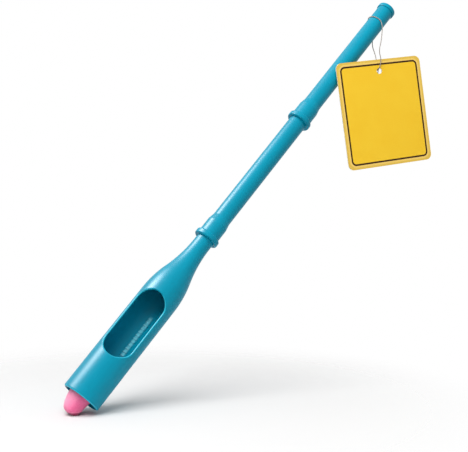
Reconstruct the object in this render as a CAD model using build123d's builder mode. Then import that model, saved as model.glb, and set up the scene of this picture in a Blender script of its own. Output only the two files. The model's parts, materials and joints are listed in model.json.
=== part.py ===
"""Long-handled chalk holder, standing at its writing slant. Millimetres, +Z up, grip at the origin."""
import math
import os

from build123d import *

os.makedirs("parts", exist_ok=True)

# Pose: the pole leans in the XZ plane, its chalk end down; stations are measured from the mouth.
LEAN = 47.2
GRIP_STATION = 463.0

# Push fits shared by the barrel and both tubes.
JOINT_STATION = 195.0
LOWER_SPAN = 167.5
UPPER_SPAN = 158.5
TUBE_RADIUS = 9.6
TUBE_WALL = 2.4
SPIGOT_STEP = 0.9
SPIGOT_LENGTH = 25.0
LIP_HEIGHT = 0.2
LIP_LENGTH = 1.6
SOCKET_CLEARANCE = 0.06
SOCKET_END_GAP = 1.0
LEAD_IN = 0.5

# Tube outside: a rolled bead at the socket mouth, then the socket and its taper.
BEAD_STEP = 3.5
BEAD_LENGTH = 6.0
BEAD_ROUND = 1.6
SOCKET_STEP = 1.4
SOCKET_LENGTH = 20.5
SOCKET_TAPER = 7.5

# Hand end of the upper tube: a slim seat for the string, then a flange that keeps it on.
HAND_END_LENGTH = 25.0
STRING_SEAT_STEP = 0.25
FLANGE_STEP = 0.75
FLANGE_LENGTH = 4.5
FLANGE_ROUND = 0.6

# Barrel: straight bay, ogee shoulder, neck, and a stop ring inside for the collet.
BARREL_RADIUS = 19.6
BARREL_WALL = 2.4
RIM_ROUND = 1.6
SHOULDER_STATION = 118.5
OGEE_STATION = 149.0
NECK_STATION = 189.5
NECK_RADIUS = 9.3
STOP_STATION = 31.0
STOP_LENGTH = 3.0
STOP_HEIGHT = 1.7

# Loading window, and the grip ridges on the wall across from it.
WINDOW_TURN = 51.0
WINDOW_STATION = 82.5
WINDOW_LENGTH = 75.0
WINDOW_WIDTH = 29.0
WINDOW_ROUND = 1.0
RIDGE_TURN = 45.0
RIDGE_COUNT = 12
RIDGE_PITCH = 4.0
RIDGE_STATION = 79.0
RIDGE_SIZE = (1.2, 6.0, 1.4)

# Chalk, worn to a blunt cone, and the slotted collet that holds it off centre, on the upper side.
CHALK_RADIUS = 12.0
CHALK_LIFT = 1.6
CHALK_REACH = 19.5
CHALK_LENGTH = 60.0
CHALK_TAPER = 9.5
CHALK_TIP_RADIUS = 3.0
CHALK_TIP_ROUND = 4.0
CHALK_END_ROUND = 1.0
GROUND_DROP = 14.6
CHALK_CLEARANCE = 0.08
GRIP_CLEARANCE = 0.05
GRIP_MOUTH = 4.5
GRIP_RING = 22.0
GRIP_RING_WALL = 3.5
FINGER_PAD = 11.0
FINGER_SLOT = 2.0
FINGER_WALL = 2.4
SLOT_CUTS = 4

# Hang tag, hung by its hole on the string.
TAG_PIVOT = Vector(25.2, -22.3, -11.8)
TAG_YAW = 12.0
TAG_ROLL = 8.5
TAG_WIDTH = 104.4
TAG_HEIGHT = 116.3
TAG_CORNER = 6.5
TAG_THICKNESS = 1.2
HOLE_RADIUS = 3.2
HOLE_INSET = 12.5

# String loop: knot to hole, up the front, over the string seat, down behind the tube to the knot.
STRING_RADIUS = 0.55
HANG_GAP = 0.3
KNOT_OFFSET = Vector(0.6, 2.6, 0)
KNOT_TURNS = 3
STRING_POINTS = [
    (25.5, -20.9, -11.8),
    (24.7, -24.6, -11.8),
    (26.4, -24.9, -1.6),
    (24.9, -22.8, 7.6),
    (33.7, -17.2, 22.0),
    (40.3, -11.7, 43.2),
    (32.8, -5.8, 50.2),
    (32.8, 5.8, 50.2),
    (40.2, 11.5, 43.4),
    (47.0, 6.2, 37.0),
    (36.2, 3.5, 21.7),
    (32.0, -10.5, 2.9),
    (25.8, -19.7, -10.5),
]
STRING_BENDS = [1.6, 20.6, 11.9, 63.8, 9.0, 9.0, 8.9, 8.5, 5.8, 27.3, 81.8]

tube_bore = TUBE_RADIUS - TUBE_WALL
spigot_radius = TUBE_RADIUS - SPIGOT_STEP
barrel_bore = BARREL_RADIUS - BARREL_WALL
along = Vector(math.cos(math.radians(LEAN)), 0, math.sin(math.radians(LEAN)))
upper = Vector(-math.sin(math.radians(LEAN)), 0, math.cos(math.radians(LEAN)))
mouth = along * -GRIP_STATION
pole = Axis(mouth, along)
profile = Plane(origin=mouth, x_dir=-upper, z_dir=(0, -1, 0))
chalk_middle = mouth + upper * CHALK_LIFT
chalk_axis = Axis(chalk_middle, along)
chalk_profile = Plane(origin=chalk_middle, x_dir=-upper, z_dir=(0, -1, 0))


def across(station):
    """Plane square to the pole at a station, facing up the pole."""
    return Plane(origin=mouth + along * station, x_dir=upper, z_dir=along)


def off_axis(edge):
    """Distance of an edge's middle from the pole axis."""
    reach = edge.center() - mouth
    return (reach - along * reach.dot(along)).length


def outward(turn):
    """Direction square to the pole, turned from its upper side towards the front."""
    return upper * math.cos(math.radians(turn)) - Vector(0, math.sin(math.radians(turn)), 0)


def spigot_outline(radius, shoulder):
    """Points of a spigot from its shoulder, at the given radius, to its lipped end."""
    end = shoulder + SPIGOT_LENGTH
    lip = spigot_radius + LIP_HEIGHT
    return [
        (radius, shoulder),
        (spigot_radius, shoulder),
        (spigot_radius, end - LIP_LENGTH - LEAD_IN),
        (lip, end - LIP_LENGTH),
        (lip, end - LEAD_IN),
        (lip - LEAD_IN, end),
        (tube_bore, end),
    ]


def hand_end_outline(shoulder):
    """Points of the hand end: string seat, end flange and the open bore."""
    end = shoulder + HAND_END_LENGTH
    seat = TUBE_RADIUS - STRING_SEAT_STEP
    flange = TUBE_RADIUS + FLANGE_STEP
    return [
        (TUBE_RADIUS, shoulder),
        (seat, shoulder),
        (seat, end - FLANGE_LENGTH),
        (flange, end - FLANGE_LENGTH),
        (flange, end),
        (tube_bore, end),
    ]


# Barrel: a revolved bottle form, cut by the window and then hollowed to the neck.
half_way = (OGEE_STATION - SHOULDER_STATION) / (NECK_STATION - SHOULDER_STATION)
ogee_outer = BARREL_RADIUS + (NECK_RADIUS - BARREL_RADIUS) * half_way
ogee_inner = barrel_bore + (tube_bore - barrel_bore) * half_way
barrel_end = JOINT_STATION + SPIGOT_LENGTH
stop_radius = barrel_bore - STOP_HEIGHT
window_middle = mouth + along * WINDOW_STATION
ridge_middle = mouth + along * RIDGE_STATION - outward(RIDGE_TURN) * barrel_bore

with BuildPart() as chalk_barrel:
    with BuildSketch(profile):
        with BuildLine():
            Polyline((0, 0), (BARREL_RADIUS, 0), (BARREL_RADIUS, SHOULDER_STATION))
            TangentArc((BARREL_RADIUS, SHOULDER_STATION), (ogee_outer, OGEE_STATION), tangent=(0, 1))
            TangentArc((NECK_RADIUS, NECK_STATION), (ogee_outer, OGEE_STATION), tangent=(0, -1))
            Polyline(
                (NECK_RADIUS, NECK_STATION),
                *spigot_outline(NECK_RADIUS, JOINT_STATION),
                (0, barrel_end),
                (0, 0),
            )
        make_face()
    revolve(axis=pole)
    fillet(chalk_barrel.edges().filter_by(GeomType.CIRCLE).sort_by(pole)[0], RIM_ROUND)
    # Window through one side, the outer edge of its rim rounded over.
    with BuildSketch(Plane(origin=window_middle, x_dir=along, z_dir=outward(WINDOW_TURN))):
        SlotOverall(WINDOW_LENGTH, WINDOW_WIDTH)
    extrude(amount=BARREL_RADIUS + 1, mode=Mode.SUBTRACT)
    cut_edges = chalk_barrel.edges(Select.LAST).filter_by(GeomType.CIRCLE, reverse=True)
    fillet(cut_edges.filter_by(lambda edge: off_axis(edge) > barrel_bore), WINDOW_ROUND)
    # Hollow, with a stop ring that seats the collet.
    with BuildSketch(profile):
        with BuildLine():
            Polyline(
                (0, 0),
                (barrel_bore, 0),
                (barrel_bore, STOP_STATION),
                (stop_radius, STOP_STATION),
                (stop_radius, STOP_STATION + STOP_LENGTH),
                (barrel_bore, STOP_STATION + STOP_LENGTH),
                (barrel_bore, SHOULDER_STATION),
            )
            TangentArc((barrel_bore, SHOULDER_STATION), (ogee_inner, OGEE_STATION), tangent=(0, 1))
            TangentArc((tube_bore, NECK_STATION), (ogee_inner, OGEE_STATION), tangent=(0, -1))
            Polyline((tube_bore, NECK_STATION), (tube_bore, barrel_end), (0, barrel_end), (0, 0))
        make_face()
    revolve(axis=pole, mode=Mode.SUBTRACT)
    # Ridges on the inner wall across from the window.
    with Locations(Plane(origin=ridge_middle, x_dir=along, z_dir=outward(RIDGE_TURN))):
        with GridLocations(RIDGE_PITCH, 1, RIDGE_COUNT, 1):
            Box(*RIDGE_SIZE)
chalk_barrel.part.label = "chalk_barrel"
export_step(chalk_barrel.part, "parts/chalk_barrel.step")

# Collet: a ring seated on the stop ring, with sprung fingers reaching for the mouth.
grip_radius = barrel_bore - GRIP_CLEARANCE
ring_bore = barrel_bore - GRIP_RING_WALL
pad_radius = CHALK_RADIUS + CHALK_CLEARANCE
finger_radius = pad_radius + CHALK_LIFT + FINGER_WALL
with BuildPart() as chalk_grip:
    with BuildSketch(profile):
        with BuildLine():
            Polyline(
                (0, STOP_STATION),
                (grip_radius, STOP_STATION),
                (grip_radius, GRIP_RING),
                (grip_radius - 1.0, GRIP_RING),
                (finger_radius, GRIP_MOUTH + 2.0),
                (finger_radius - 0.8, GRIP_MOUTH),
                (0, GRIP_MOUTH),
                close=True,
            )
        make_face()
    revolve(axis=pole)
    # Bore on the chalk's own axis: flared mouth, gripping pads, clear ring.
    with BuildSketch(chalk_profile):
        with BuildLine():
            Polyline(
                (0, GRIP_MOUTH),
                (pad_radius + 0.9, GRIP_MOUTH),
                (pad_radius, GRIP_MOUTH + 1.5),
                (pad_radius, FINGER_PAD),
                (ring_bore, GRIP_RING),
                (ring_bore, STOP_STATION),
                (0, STOP_STATION),
                close=True,
            )
        make_face()
    revolve(axis=chalk_axis, mode=Mode.SUBTRACT)
    slot_length = GRIP_RING - GRIP_MOUTH
    with Locations(across(GRIP_MOUTH - 1)):
        with PolarLocations(0, SLOT_CUTS, angular_range=180):
            Box(
                2 * BARREL_RADIUS,
                FINGER_SLOT,
                slot_length,
                align=(Align.CENTER, Align.CENTER, Align.MIN),
                mode=Mode.SUBTRACT,
            )
chalk_grip.part.label = "chalk_grip"
export_step(chalk_grip.part, "parts/chalk_grip.step")

# Chalk: a round stick worn to a blunt cone, and flat where it rubs the ground.
ground = mouth.Z - GROUND_DROP
with BuildPart() as chalk_stick:
    with BuildSketch(chalk_profile):
        with BuildLine():
            Polyline(
                (0, -CHALK_REACH),
                (CHALK_TIP_RADIUS, -CHALK_REACH),
                (CHALK_RADIUS, CHALK_TAPER - CHALK_REACH),
                (CHALK_RADIUS, CHALK_LENGTH - CHALK_REACH),
                (0, CHALK_LENGTH - CHALK_REACH),
                close=True,
            )
        make_face()
    revolve(axis=chalk_axis)
    fillet(chalk_stick.edges().filter_by(GeomType.CIRCLE).sort_by(pole)[:2], CHALK_TIP_ROUND)
    fillet(chalk_stick.edges().filter_by(GeomType.CIRCLE).sort_by(pole)[-1], CHALK_END_ROUND)
    with Locations((mouth.X, 0, ground)):
        Box(
            8 * CHALK_RADIUS,
            4 * CHALK_RADIUS,
            2 * CHALK_REACH,
            align=(Align.CENTER, Align.CENTER, Align.MAX),
            mode=Mode.SUBTRACT,
        )
chalk_stick.part.label = "chalk_stick"
export_step(chalk_stick.part, "parts/chalk_stick.step")


def handle_tube(start, far_end, rims):
    """One handle tube from its socket mouth to the outlined far end, with the listed rims rounded."""
    socket_bore = spigot_radius + LIP_HEIGHT + SOCKET_CLEARANCE
    socket_floor = start + SPIGOT_LENGTH + SOCKET_END_GAP
    bead = TUBE_RADIUS + BEAD_STEP
    socket = TUBE_RADIUS + SOCKET_STEP
    with BuildPart() as tube:
        with BuildSketch(profile):
            with BuildLine():
                Polyline(
                    (socket_bore, start),
                    (bead, start),
                    (bead, start + BEAD_LENGTH),
                    (socket, start + BEAD_LENGTH),
                    (socket, start + SOCKET_LENGTH),
                    (TUBE_RADIUS, start + SOCKET_LENGTH + SOCKET_TAPER),
                    *far_end,
                    (tube_bore, socket_floor),
                    (socket_bore, socket_floor),
                    close=True,
                )
            make_face()
        revolve(axis=pole)
        for step, size in rims:
            circles = tube.edges().filter_by(GeomType.CIRCLE)
            fillet(circles.filter_by(lambda edge: abs(edge.radius - TUBE_RADIUS - step) < 0.01), size)
    return tube


upper_joint = JOINT_STATION + LOWER_SPAN
lower_tube = handle_tube(JOINT_STATION, spigot_outline(TUBE_RADIUS, upper_joint), [(BEAD_STEP, BEAD_ROUND)])
lower_tube.part.label = "lower_tube"
export_step(lower_tube.part, "parts/lower_tube.step")

upper_tube = handle_tube(
    upper_joint,
    hand_end_outline(upper_joint + UPPER_SPAN),
    [(BEAD_STEP, BEAD_ROUND), (FLANGE_STEP, FLANGE_ROUND)],
)
upper_tube.part.label = "upper_tube"
export_step(upper_tube.part, "parts/upper_tube.step")

# String: one limp cord, closed by the knot behind the tag.
with BuildPart() as tag_string:
    with BuildLine() as loop:
        FilletPolyline(*STRING_POINTS, radius=STRING_BENDS)
    with BuildSketch(Plane(origin=loop.line @ 0, z_dir=loop.line % 0)):
        Circle(STRING_RADIUS)
    sweep(path=loop.line)
tag_string.part.label = "tag_string"
export_step(tag_string.part, "parts/tag_string.step")

# Knot: three touching turns wound round the strand.
with BuildPart() as tag_knot:
    with Locations(TAG_PIVOT + KNOT_OFFSET):
        Cylinder(2 * STRING_RADIUS, 2 * STRING_RADIUS * (KNOT_TURNS - 1))
        for turn in range(KNOT_TURNS):
            lift = 2 * STRING_RADIUS * (turn - (KNOT_TURNS - 1) / 2)
            with Locations((0, 0, lift)):
                Torus(2 * STRING_RADIUS, STRING_RADIUS)
tag_knot.part.label = "tag_knot"
export_step(tag_knot.part, "parts/tag_knot.step")

# Tag: stiff card, round corners, one punched hole resting on the string.
yaw = math.radians(TAG_YAW)
roll = math.radians(TAG_ROLL)
tag_out = Vector(-math.sin(yaw), -math.cos(yaw), 0)
tag_right = Vector(math.cos(yaw) * math.cos(roll), -math.sin(yaw) * math.cos(roll), math.sin(roll))
hole_drop = HOLE_RADIUS - STRING_RADIUS - HANG_GAP
with BuildPart() as hang_tag:
    with BuildSketch(Plane(origin=TAG_PIVOT, x_dir=tag_right, z_dir=tag_out)):
        with Locations((0, HOLE_INSET - hole_drop - TAG_HEIGHT / 2)):
            RectangleRounded(TAG_WIDTH, TAG_HEIGHT, TAG_CORNER)
        with Locations((0, -hole_drop)):
            Circle(HOLE_RADIUS, mode=Mode.SUBTRACT)
    extrude(amount=TAG_THICKNESS / 2, both=True)
hang_tag.part.label = "hang_tag"
export_step(hang_tag.part, "parts/hang_tag.step")
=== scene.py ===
import json
import math

import bpy
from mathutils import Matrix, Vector, noise


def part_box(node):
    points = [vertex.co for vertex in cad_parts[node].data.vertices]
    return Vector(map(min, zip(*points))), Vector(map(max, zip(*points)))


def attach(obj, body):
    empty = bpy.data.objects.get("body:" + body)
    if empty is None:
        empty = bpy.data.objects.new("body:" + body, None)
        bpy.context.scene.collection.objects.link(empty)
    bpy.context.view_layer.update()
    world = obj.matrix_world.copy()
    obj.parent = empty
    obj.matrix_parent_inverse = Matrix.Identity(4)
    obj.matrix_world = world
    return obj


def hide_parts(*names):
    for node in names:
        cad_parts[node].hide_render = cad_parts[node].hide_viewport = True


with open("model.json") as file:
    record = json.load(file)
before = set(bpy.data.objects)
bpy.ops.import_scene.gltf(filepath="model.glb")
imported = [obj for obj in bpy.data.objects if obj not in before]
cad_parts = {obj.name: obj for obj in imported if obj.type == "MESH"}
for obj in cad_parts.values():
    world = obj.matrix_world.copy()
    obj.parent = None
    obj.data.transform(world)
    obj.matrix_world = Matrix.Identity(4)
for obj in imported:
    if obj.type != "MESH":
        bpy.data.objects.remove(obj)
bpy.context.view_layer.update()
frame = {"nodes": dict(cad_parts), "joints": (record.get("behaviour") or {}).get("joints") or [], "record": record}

# Barrel: the bottle-shaped holder for the chalk, with a loading window and a row of ridges inside.
# Moulded in one piece from glossy teal polypropylene, with a faint parting line down each side of the window;
# painted highlights pale its rims, a streak along the inner wall and the ridges' crests. Its neck plugs into the
# lower tube.


class Socket:
    """A shader output that takes part in sums; each sum adds its own Math node."""

    def __init__(self, tree, output=None):
        self.tree = tree
        self.output = output

    def node(self, kind, settings=None, sockets=None, result=0):
        """Add a node: its settings first, then its sockets' values or links. Gives one output."""
        added = self.tree.nodes.new(kind)
        for name, value in (settings or {}).items():
            setattr(added, name, value)
        for name, value in (sockets or {}).items():
            if isinstance(value, Socket):
                self.tree.links.new(value.output, added.inputs[name])
            else:
                added.inputs[name].default_value = value
        return Socket(self.tree, added.outputs[result])

    def feed(self, shader, name):
        """Link this to one of a shader's sockets."""
        self.tree.links.new(self.output, shader.inputs[name])

    def math(self, operation, *terms):
        return self.node("ShaderNodeMath", {"operation": operation}, dict(enumerate(terms)))

    def __add__(self, other):
        return self.math("ADD", self, other)

    __radd__ = __add__

    def __sub__(self, other):
        return self.math("SUBTRACT", self, other)

    def __rsub__(self, other):
        return self.math("SUBTRACT", other, self)

    def __mul__(self, other):
        return self.math("MULTIPLY", self, other)

    __rmul__ = __mul__

    def __abs__(self):
        return self.math("ABSOLUTE", self)

    def root(self):
        return self.math("SQRT", self)

    def at_least(self, other):
        return self.math("MAXIMUM", self, other)

    def at_most(self, other):
        return self.math("MINIMUM", self, other)

    def dot(self, direction):
        sockets = {0: self, 1: direction}
        return self.node("ShaderNodeVectorMath", {"operation": "DOT_PRODUCT"}, sockets, "Value")

    def ramp(self, low, high):
        """0 below low, 1 above high, smooth between; falls instead where low is the larger."""
        return self.node(
            "ShaderNodeMapRange",
            {"interpolation_type": "SMOOTHSTEP"},
            {"Value": self, "From Min": low, "From Max": high},
        )

    def between(self, low, high, blur):
        """1 between low and high, fading to 0 over the blur inside each."""
        return self.ramp(low, low + blur) * self.ramp(high, high - blur)

    def noise(self, scale, detail=2.0, roughness=0.5):
        """Fractal noise at this place, with the given number of spots to the metre."""
        sockets = {"Vector": self, "Scale": scale, "Detail": detail, "Roughness": roughness}
        return self.node("ShaderNodeTexNoise", {}, sockets)

    def mix(self, first, second):
        """One colour where this is 0, the other where it is 1."""
        return self.node("ShaderNodeMix", {"data_type": "RGBA"}, {0: self, 6: first, 7: second}, 2)


def start_material(name, **constants):
    """A material with its shader's constant sockets set: the material, shader and place."""
    material = bpy.data.materials.new(name)
    material.use_nodes = True
    shader = material.node_tree.nodes["Principled BSDF"]
    for socket, value in constants.items():
        shader.inputs[socket.replace("_", " ")].default_value = value
    place = Socket(material.node_tree).node("ShaderNodeTexCoord", result="Object")
    return material, shader, place


def finish_material(shader, height, depth, strength, **inputs):
    """Feed the shader's varying sockets, and its normal from a relief of the given depth."""
    relief = {"Height": height, "Distance": depth, "Strength": strength}
    inputs["Normal"] = height.node("ShaderNodeBump", {}, relief)
    for name, value in inputs.items():
        value.feed(shader, name.replace("_", " "))


def dress(node, material):
    """Give a CAD node its material."""
    for slot in frame["nodes"][node].material_slots:
        slot.material = material


# A station is a distance up the pole from the hand grip.
pole = Vector(frame["record"]["mounts"][0]["axis"])
upper = Vector((-pole.z, 0, pole.x))
WINDOW_TURN = math.radians(51)
RIDGE_TURN = math.radians(45)
window_facing = upper * math.cos(WINDOW_TURN) - Vector((0, math.sin(WINDOW_TURN), 0))
ridge_facing = Vector((0, math.sin(RIDGE_TURN), 0)) - upper * math.cos(RIDGE_TURN)
SEAM_SIDES = (0.00022, 0.00006)
RIM_RADII = (0.0184, 0.0195)
RIM_BLUR = 0.0002
SHOULDER_STATIONS = (-0.3435, -0.3445)
RIDGE_RADII = (0.01636, 0.017)
RIDGE_BLUR = 0.0002
RIDGE_SIDES = (0.0022, 0.0014)
RIDGE_STOP = (-0.358, -0.359)
STREAK_RADII = (0.0155, 0.0182)
STREAK_BLUR = 0.0005
STREAK_SIDES = (0.0026, 0.0006)
STREAK_STATIONS = (-0.409, -0.358)
STREAK_FADE = 0.005
FLOW_STRETCH = 0.06
DEEP_TEAL = (0.0, 0.252, 0.37, 1)
CLEAR_TEAL = (0.0, 0.278, 0.41, 1)
RIM_HIGHLIGHT_TEAL = (0.05, 0.6, 0.76, 1)
STREAK_HIGHLIGHT_TEAL = (0.2, 0.7, 0.8, 1)
SCUFF_AND_HIGHLIGHT_TEAL = (0.3, 0.76, 0.86, 1)


def teal_plastic(name, parting):
    """Glossy moulded plastic; parting is the direction the mould halves pull in."""
    material, shader, place = start_material(name, Specular_IOR_Level=0.14)
    station = place.dot(pole)
    rise = place.dot(upper)
    side = place.dot((0, 1, 0))
    drawn_out = place.node("ShaderNodeCombineXYZ", {}, {0: station * FLOW_STRETCH, 1: rise, 2: side})
    flow = drawn_out.noise(140, detail=3)
    mottle = place.noise(28)
    peel = place.noise(1400)
    scuff = drawn_out.noise(900, detail=4, roughness=0.7).ramp(0.62, 0.74)
    seam = abs(place.dot(parting)).ramp(*SEAM_SIDES)
    body = (0.6 * flow + 0.4 * mottle).ramp(0.3, 0.7).mix(DEEP_TEAL, CLEAR_TEAL)

    off_axis = (rise * rise + side * side).root()
    # Painted highlight: a paler band on the rims of the window and the mouth.
    rim_highlight = off_axis.between(*RIM_RADII, RIM_BLUR) * station.ramp(*SHOULDER_STATIONS)
    rim_highlit = (0.55 * rim_highlight).mix(body, RIM_HIGHLIGHT_TEAL)

    # Painted highlight: a pale streak along the inner wall beside the ridges.
    towards_ridges = place.dot(ridge_facing)
    off_ridges = abs(place.dot(pole.cross(ridge_facing)))
    along_streak = station.between(*STREAK_STATIONS, STREAK_FADE) * off_ridges.ramp(*STREAK_SIDES)
    highlight_streak = towards_ridges.between(*STREAK_RADII, STREAK_BLUR) * along_streak
    streak_highlit = (0.8 * highlight_streak).mix(rim_highlit, STREAK_HIGHLIGHT_TEAL)
    # Painted highlight: pale flecks on the ridges' crests; the same pale teal also marks the scuffs.
    on_ridge = towards_ridges.between(*RIDGE_RADII, RIDGE_BLUR) * station.ramp(*RIDGE_STOP)
    paler_spots = on_ridge * off_ridges.ramp(*RIDGE_SIDES) * place.noise(700, detail=3).ramp(0.3, 0.55)
    finish_material(
        shader,
        height=0.25 * peel + 0.5 * mottle + 0.6 * seam,
        depth=0.0002,
        strength=0.02,
        Base_Color=(0.04 * scuff + 0.6 * paler_spots).mix(streak_highlit, SCUFF_AND_HIGHLIGHT_TEAL),
        Roughness=0.34 + 0.05 * mottle + 0.08 * scuff,
    )
    return material


dress("chalk_barrel", teal_plastic("teal_barrel", window_facing))

# Collet: the slotted ring that grips the chalk inside the mouth.
# Moulded in a darker satin plastic, pushed in against the barrel's stop ring, with chalk dust
# caught on its fingers.
COLLET_TEAL = (0.0, 0.15, 0.22, 1)
CAUGHT_DUST = (0.62, 0.2, 0.33, 1)
collet_plastic, shader, place = start_material("collet_plastic")
grain = place.noise(1800, detail=3)
dust = place.noise(420, detail=5, roughness=0.7).ramp(0.5, 0.68)
finish_material(
    shader,
    height=grain,
    depth=0.0001,
    strength=0.3,
    Base_Color=(0.5 * dust).mix(COLLET_TEAL, CAUGHT_DUST),
    Roughness=0.42 + 0.1 * grain + 0.3 * dust,
)
dress("chalk_grip", collet_plastic)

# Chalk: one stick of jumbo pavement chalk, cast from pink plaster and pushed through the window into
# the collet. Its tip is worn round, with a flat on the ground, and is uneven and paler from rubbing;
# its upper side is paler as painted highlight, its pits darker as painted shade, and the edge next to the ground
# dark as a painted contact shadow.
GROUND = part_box("chalk_stick")[0][2]
MOUTH_STATION = -0.463
# The outline's points: radius, lift of the middle towards the upper side, distance past the mouth.
CHALK_OUTLINE = [
    (0.0090, 0.0016, -0.0405),
    (0.0120, 0.0016, -0.0405),
    (0.0120, 0.0016, -0.0375),
    (0.0119, 0.0016, -0.0200),
    (0.0119, 0.0016, -0.0040),
    (0.0112, 0.0017, 0.0000),
    (0.0107, 0.0016, 0.0040),
    (0.0098, 0.0012, 0.0086),
    (0.0090, 0.0005, 0.0126),
    (0.0080, 0.0000, 0.0152),
    (0.0058, -0.0002, 0.0168),
    (0.0030, -0.0004, 0.0174),
    (0.0010, -0.0004, 0.0175),
]
OUTLINE_DETAIL = 12
CHALK_STEP = 0.0007
CHALK_SIDES = 72
SIDE_WEAR = 0.0001
TIP_WEAR = 0.0005
WEAR_START = 0.001
WEAR_RUN = 0.012
BROAD_DENTS = 260
FINE_DENTS = 900
RUBBED_HEIGHTS = (0.009, 0.0015)
CONTACT_SHADOW_HEIGHTS = (0.0036, 0.0022)
HIGHLIGHT_RISE = (0.003, 0.011)
DEEP_PINK = (0.77, 0.095, 0.255, 1)
CLEAR_PINK = (0.92, 0.18, 0.38, 1)
DUST_AND_HIGHLIGHT_PINK = (0.96, 0.45, 0.62, 1)
PIT_SHADE_PINK = (0.52, 0.05, 0.16, 1)
CONTACT_SHADOW_PINK = (0.2, 0.004, 0.04, 1)


def smooth_line(route, resolution):
    """Points along the NURBS spline that a route's points control."""
    curve = bpy.data.curves.new("route", "CURVE")
    curve.dimensions = "3D"
    spline = curve.splines.new("NURBS")
    spline.points.add(len(route) - 1)
    for point, corner in zip(spline.points, route):
        point.co = (*corner, 1)
    spline.order_u = 3
    spline.use_endpoint_u = True
    spline.resolution_u = resolution
    holder = bpy.data.objects.new("route", curve)
    line = bpy.data.meshes.new_from_object(holder)
    points = [vertex.co.copy() for vertex in line.vertices]
    bpy.data.objects.remove(holder)
    bpy.data.curves.remove(curve)
    bpy.data.meshes.remove(line)
    return points


def even_steps(points, step):
    """The same line, walked in even steps."""
    walked = [points[0]]
    left = step
    for start, end in zip(points, points[1:]):
        gap = (end - start).length
        while left <= gap:
            walked.append(start.lerp(end, left / gap))
            left += step
        left -= gap
    return walked + [points[-1]]


def tube_faces(first, rings, sides):
    """Faces of a closed tube: quads between its rings of vertices, and a cap at each end."""
    faces = []
    last = first + (rings - 1) * sides
    for low in range(first, last, sides):
        for side in range(sides):
            following = (side + 1) % sides
            high = low + sides
            faces.append((low + side, low + following, high + following, high + side))
    faces.append(tuple(first + side for side in reversed(range(sides))))
    faces.append(tuple(last + side for side in range(sides)))
    return faces


def add_piece(name, vertices, faces, material):
    """A smooth mesh in one material, put into the scene."""
    mesh = bpy.data.meshes.new(name)
    mesh.from_pydata(vertices, [], faces)
    mesh.shade_smooth()
    mesh.materials.append(material)
    piece = bpy.data.objects.new(name, mesh)
    bpy.context.scene.collection.objects.link(piece)
    return piece


def worn_stick(name, outline, material):
    """A stick turned from its outline, rubbed uneven towards its tip and cut flat by the ground."""
    vertices = []
    for radius, lift, past_mouth in outline:
        middle = pole * (MOUTH_STATION - past_mouth) + upper * lift
        rubbing = min(max((past_mouth - WEAR_START) / WEAR_RUN, 0), 1)
        wear = SIDE_WEAR + (TIP_WEAR - SIDE_WEAR) * rubbing
        for side in range(CHALK_SIDES):
            turn = 2 * math.pi * side / CHALK_SIDES
            outward = upper * math.cos(turn) + Vector((0, math.sin(turn), 0))
            skin = middle + outward * radius
            dent = 0.6 * noise.noise(skin * BROAD_DENTS) + 0.4 * noise.noise(skin * FINE_DENTS)
            skin -= outward * wear * (0.5 + 0.5 * dent)
            skin.z = max(skin.z, GROUND)
            vertices.append(skin)
    return add_piece(name, vertices, tube_faces(0, len(outline), CHALK_SIDES), material)


pink_plaster, shader, place = start_material("pink_plaster", Specular_IOR_Level=0.12, Sheen_Weight=0.3)
powder = place.noise(2600, detail=6, roughness=0.75)
cloud = place.noise(130, detail=3)
pits = place.noise(800, detail=3, roughness=0.6).ramp(0.36, 0.28)
off_ground = place.dot((0, 0, 1)) - GROUND
paler_spots = off_ground.ramp(*RUBBED_HEIGHTS) * place.noise(500, detail=4, roughness=0.7).ramp(0.38, 0.62)
# Painted highlight: the upper side is paler.
upper_highlight = place.dot(upper).ramp(*HIGHLIGHT_RISE)
# Painted contact shadow: a dark edge next to the ground.
contact_shadow = off_ground.ramp(*CONTACT_SHADOW_HEIGHTS)
cast = (0.55 * cloud + 0.45 * powder).ramp(0.34, 0.66).mix(DEEP_PINK, CLEAR_PINK)
dust_and_highlight = (0.4 * paler_spots + 0.2 * powder.ramp(0.5, 0.75) + 0.5 * upper_highlight).mix(cast, DUST_AND_HIGHLIGHT_PINK)
# Painted shade: the pits are darker.
pit_shaded = (0.45 * pits).mix(dust_and_highlight, PIT_SHADE_PINK)
finish_material(
    shader,
    height=0.6 * powder + 0.5 * cloud - pits,
    depth=0.0005,
    strength=0.55,
    Base_Color=(0.9 * contact_shadow).mix(pit_shaded, CONTACT_SHADOW_PINK),
    Roughness=0.86 + 0.12 * powder,
)
outline = even_steps(smooth_line(CHALK_OUTLINE, OUTLINE_DETAIL), CHALK_STEP)
chalk = worn_stick("chalk", outline, pink_plaster)
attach(chalk, "chalk")
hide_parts("chalk_stick")

# Handle tubes: two mouldings that plug together, each with a beaded socket below; the lower ends in
# a spigot, the upper in a string seat and a flange. Same teal plastic as the barrel; the mould halves
# part across the lean.
tube_plastic = teal_plastic("teal_tube", Vector((0, 1, 0)))
dress("lower_tube", tube_plastic)
dress("upper_tube", tube_plastic)

# String: one loop of thin cord that carries the tag, laid from three plies of grey-beige thread.
# It runs from the knot out through the tag's hole, up in front, round the seat below the upper
# tube's flange and back down behind the tube to the knot.
STRING_ROUTE = [
    (0.0255, -0.0209, -0.0118),
    (0.0247, -0.0246, -0.0118),
    (0.0264, -0.0249, -0.0016),
    (0.0249, -0.0228, 0.0076),
    (0.0337, -0.0172, 0.0220),
    (0.0403, -0.0117, 0.0432),
    (0.0328, -0.0058, 0.0502),
    (0.0328, 0.0058, 0.0502),
    (0.0402, 0.0115, 0.0434),
    (0.0470, 0.0062, 0.0370),
    (0.0362, 0.0035, 0.0217),
    (0.0320, -0.0105, 0.0029),
    (0.0258, -0.0197, -0.0105),
]
ROUTE_DETAIL = 24
STRING_RADIUS = 0.00055
PLIES = 3
PLY_TURN = 0.0036
PLY_SIDES = 7
PLY_STEP = 0.00035
DARK_THREAD = (0.26, 0.22, 0.195, 1)
PALE_THREAD = (0.54, 0.48, 0.43, 1)


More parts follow.
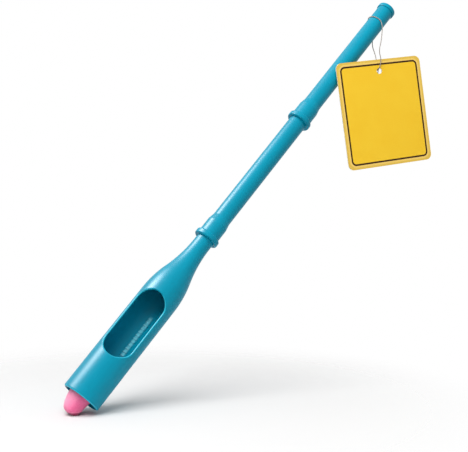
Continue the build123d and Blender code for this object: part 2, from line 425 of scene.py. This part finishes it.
def laid_cord(name, points, material):
    """Plies twisted round a line of points, as one mesh."""
    ply_radius = STRING_RADIUS / (1 + 1 / math.sin(math.pi / PLIES))
    ply_reach = STRING_RADIUS - ply_radius
    steps = even_steps(points, PLY_STEP)
    across = (steps[1] - steps[0]).orthogonal().normalized()
    crossings = []
    for index, centre in enumerate(steps):
        ahead = steps[min(index + 1, len(steps) - 1)]
        behind = steps[max(index - 1, 0)]
        tangent = (ahead - behind).normalized()
        across = (across - tangent * across.dot(tangent)).normalized()
        crossings.append((centre, across, tangent.cross(across)))
    vertices = []
    faces = []
    for ply in range(PLIES):
        faces += tube_faces(len(vertices), len(crossings), PLY_SIDES)
        for index, (centre, right, over) in enumerate(crossings):
            turn = 2 * math.pi * (index * PLY_STEP / PLY_TURN + ply / PLIES)
            middle = centre + (right * math.cos(turn) + over * math.sin(turn)) * ply_reach
            for side in range(PLY_SIDES):
                angle = turn + 2 * math.pi * side / PLY_SIDES
                vertices.append(middle + (right * math.cos(angle) + over * math.sin(angle)) * ply_radius)
    cord = add_piece(name, vertices, faces, material)
    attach(cord, "handle_top")
    return cord


thread, shader, place = start_material("thread", Specular_IOR_Level=0.2, Sheen_Weight=0.3)
fibre = place.noise(9000, detail=4, roughness=0.7)
soiled = place.noise(160)
finish_material(
    shader,
    height=fibre,
    depth=0.0001,
    strength=0.6,
    Base_Color=(0.6 * fibre + 0.4 * soiled).ramp(0.3, 0.7).mix(DARK_THREAD, PALE_THREAD),
    Roughness=0.75 + 0.2 * fibre,
)
string_line = smooth_line(STRING_ROUTE, ROUTE_DETAIL)
string = laid_cord("string", string_line, thread)
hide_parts("tag_string")

# Knot: the string's end tied off behind the tag in three close turns, with a cut tail.
# The same plied thread, drawn tight round the strand.
KNOT_TURNS = 3
TURN_POINTS = 16
KNOT_DETAIL = 6
TAIL_END = Vector((0.0006, 0.0012, -0.0066))
knot_low, knot_high = (Vector(corner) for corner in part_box("tag_knot"))
knot_middle = (knot_low + knot_high) / 2
knot_reach = (knot_high.x - knot_low.x) / 2 - STRING_RADIUS
knot_line = [knot_middle + TAIL_END]
for index in range(KNOT_TURNS * TURN_POINTS + 1):
    turn = 2 * math.pi * index / TURN_POINTS
    lift = 2 * STRING_RADIUS * (index / TURN_POINTS - KNOT_TURNS / 2) * (1 - 1 / KNOT_TURNS)
    knot_line.append(knot_middle + Vector((knot_reach * math.cos(turn), knot_reach * math.sin(turn), lift)))
knot = laid_cord("knot", smooth_line(knot_line, KNOT_DETAIL), thread)
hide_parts("tag_knot")

# Tag: a stiff coated card, die-cut with round corners and a punched hole, hung on the string.
# Printed yellow with a paler margin and one dark line inside it; the field is plain.
TAG_SIZE = (0.1044, 0.1163)
TAG_ROLL = math.radians(8.5)
HOLE_DROP = 0.00235
HOLE_INSET = 0.0125
LINE_INSET = 0.0052
LINE_CORNER = 0.0045
LINE_SIDES = (0.00105, 0.00085)
MARGIN_SIDES = (-0.0002, 0.0002)
BORDER_SIDES = (0.0024, 0.0034)
CUT_EDGE = (0.00058, 0.00054)
FIELD_YELLOW = (0.98, 0.6, 0.026, 1)
CLEAR_YELLOW = (1.0, 0.64, 0.034, 1)
MARGIN_YELLOW = (0.97, 0.66, 0.16, 1)
OUTER_YELLOW = (0.84, 0.56, 0.09, 1)
LINE_BROWN = (0.03, 0.008, 0.002, 1)
BARE_CARD = (0.8, 0.72, 0.55, 1)
swing = next(joint for joint in frame["joints"] if joint["name"] == "tag_swing")
tag_out = Vector(swing["axis"])
level = Vector((0, 0, 1)).cross(tag_out)
tag_right = level * math.cos(TAG_ROLL) + Vector((0, 0, math.sin(TAG_ROLL)))
tag_up = tag_out.cross(tag_right)
tag_middle = Vector(swing["pos_m"]) + tag_up * (HOLE_INSET - HOLE_DROP - TAG_SIZE[1] / 2)

printed_card, shader, place = start_material("printed_card", Specular_IOR_Level=0.15, Coat_Roughness=0.2)
beyond = []
for direction, span in zip((tag_right, tag_up), TAG_SIZE):
    reach = abs(place.dot(direction) - tag_middle.dot(direction))
    beyond.append(reach - (span / 2 - LINE_INSET - LINE_CORNER))
across, along = beyond
across_corner = across.at_least(0)
along_corner = along.at_least(0)
round_corner = (across_corner * across_corner + along_corner * along_corner).root()
off_line = round_corner + across.at_least(along).at_most(0) - LINE_CORNER
line = abs(off_line).ramp(*LINE_SIDES)
margin = off_line.ramp(*MARGIN_SIDES)
card_edge = abs(place.dot(tag_out) - tag_middle.dot(tag_out)).ramp(*CUT_EDGE)
speckle = place.noise(3500, detail=3)
unevenness = place.noise(45)
field = (0.5 * speckle + 0.5 * unevenness).ramp(0.3, 0.7).mix(FIELD_YELLOW, CLEAR_YELLOW)
border = off_line.ramp(*BORDER_SIDES).mix(MARGIN_YELLOW, OUTER_YELLOW)
printed = line.mix(margin.mix(field, border), LINE_BROWN)
finish_material(
    shader,
    height=speckle + 0.6 * line,
    depth=0.00008,
    strength=0.22,
    Base_Color=card_edge.mix(printed, BARE_CARD),
    Roughness=0.42 + 0.12 * speckle + 0.25 * card_edge,
    Coat_Weight=0.05 - 0.05 * card_edge,
)
dress("hang_tag", printed_card)

# Studio: a pale floor under the chalk that fades out into a white room, and a camera that looks at
# the window's side. A broad key lamp on the left lights the surfaces, and a softbox above shows in
# their reflections alone.
FLOOR_REACH = 6.0
FLOOR_GREY = (0.72, 0.72, 0.72, 1)
FADE_CENTRE = (-0.24, 0.03, GROUND)
FADE_REACH = (0.12, 0.38)
ROOM_LIGHT = 0.5
KEY_PLACE = Vector((-0.74, -0.38, 1.06))
KEY_AIM = Vector((-0.15, 0, -0.15))
KEY_SIZE = 1.4
KEY_WATTS = 26
SOFTBOX_PLACE = Vector((-1.2, 0.55, 1.2))
SOFTBOX_SIZE = 1.1
SOFTBOX_WATTS = 175
CAMERA_PLACE = (-0.6219, -0.7582, -0.16735)
CAMERA_TURN = (math.radians(89), 0, math.radians(-32))
LENS = 67.615
scene = bpy.context.scene
scene.view_settings.view_transform = "Standard"

pale_floor, shader, place = start_material(
    "pale_floor", Base_Color=FLOOR_GREY, Roughness=0.9, Specular_IOR_Level=0.1
)
sockets = {0: place, 1: FADE_CENTRE}
from_tip = place.node("ShaderNodeVectorMath", {"operation": "DISTANCE"}, sockets, "Value")
fade = 1 - from_tip.ramp(*FADE_REACH)
fade.feed(shader, "Alpha")
corners = [(x * FLOOR_REACH, y * FLOOR_REACH, GROUND) for x, y in ((-1, -1), (1, -1), (1, 1), (-1, 1))]
floor = add_piece("floor", corners, [(0, 1, 2, 3)], pale_floor)

world = bpy.data.worlds.new("white_room")
world.use_nodes = True
scene.world = world
backdrop = world.node_tree.nodes["Background"]
backdrop.inputs["Color"].default_value = (1, 1, 1, 1)
room = Socket(world.node_tree)
seen = room.node("ShaderNodeLightPath", result="Is Camera Ray")
for ray in ("Is Glossy Ray", "Is Transmission Ray"):
    seen = seen.at_least(room.node("ShaderNodeLightPath", result=ray))
strength = ROOM_LIGHT + (1 - ROOM_LIGHT) * seen
strength.feed(backdrop, "Strength")


def hang_lamp(name, stand, away, size, watts):
    """A round soft lamp at its stand, with its back turned away from what it shines on."""
    lamp_data = bpy.data.lights.new(name, "AREA")
    lamp_data.shape = "DISK"
    lamp_data.size = size
    lamp_data.energy = watts
    lamp = bpy.data.objects.new(name, lamp_data)
    lamp.location = stand
    lamp.rotation_euler = away.to_track_quat("Z", "Y").to_euler()
    scene.collection.objects.link(lamp)
    return lamp


key = hang_lamp("key", KEY_PLACE, KEY_PLACE - KEY_AIM, KEY_SIZE, KEY_WATTS)
key.visible_glossy = False
softbox = hang_lamp("softbox", SOFTBOX_PLACE, Vector((0, 0, 1)), SOFTBOX_SIZE, SOFTBOX_WATTS)
softbox.visible_diffuse = False

camera_data = bpy.data.cameras.new("camera")
camera_data.lens = LENS
camera = bpy.data.objects.new("camera", camera_data)
camera.location = CAMERA_PLACE
camera.rotation_euler = CAMERA_TURN
scene.collection.objects.link(camera)
scene.camera = camera
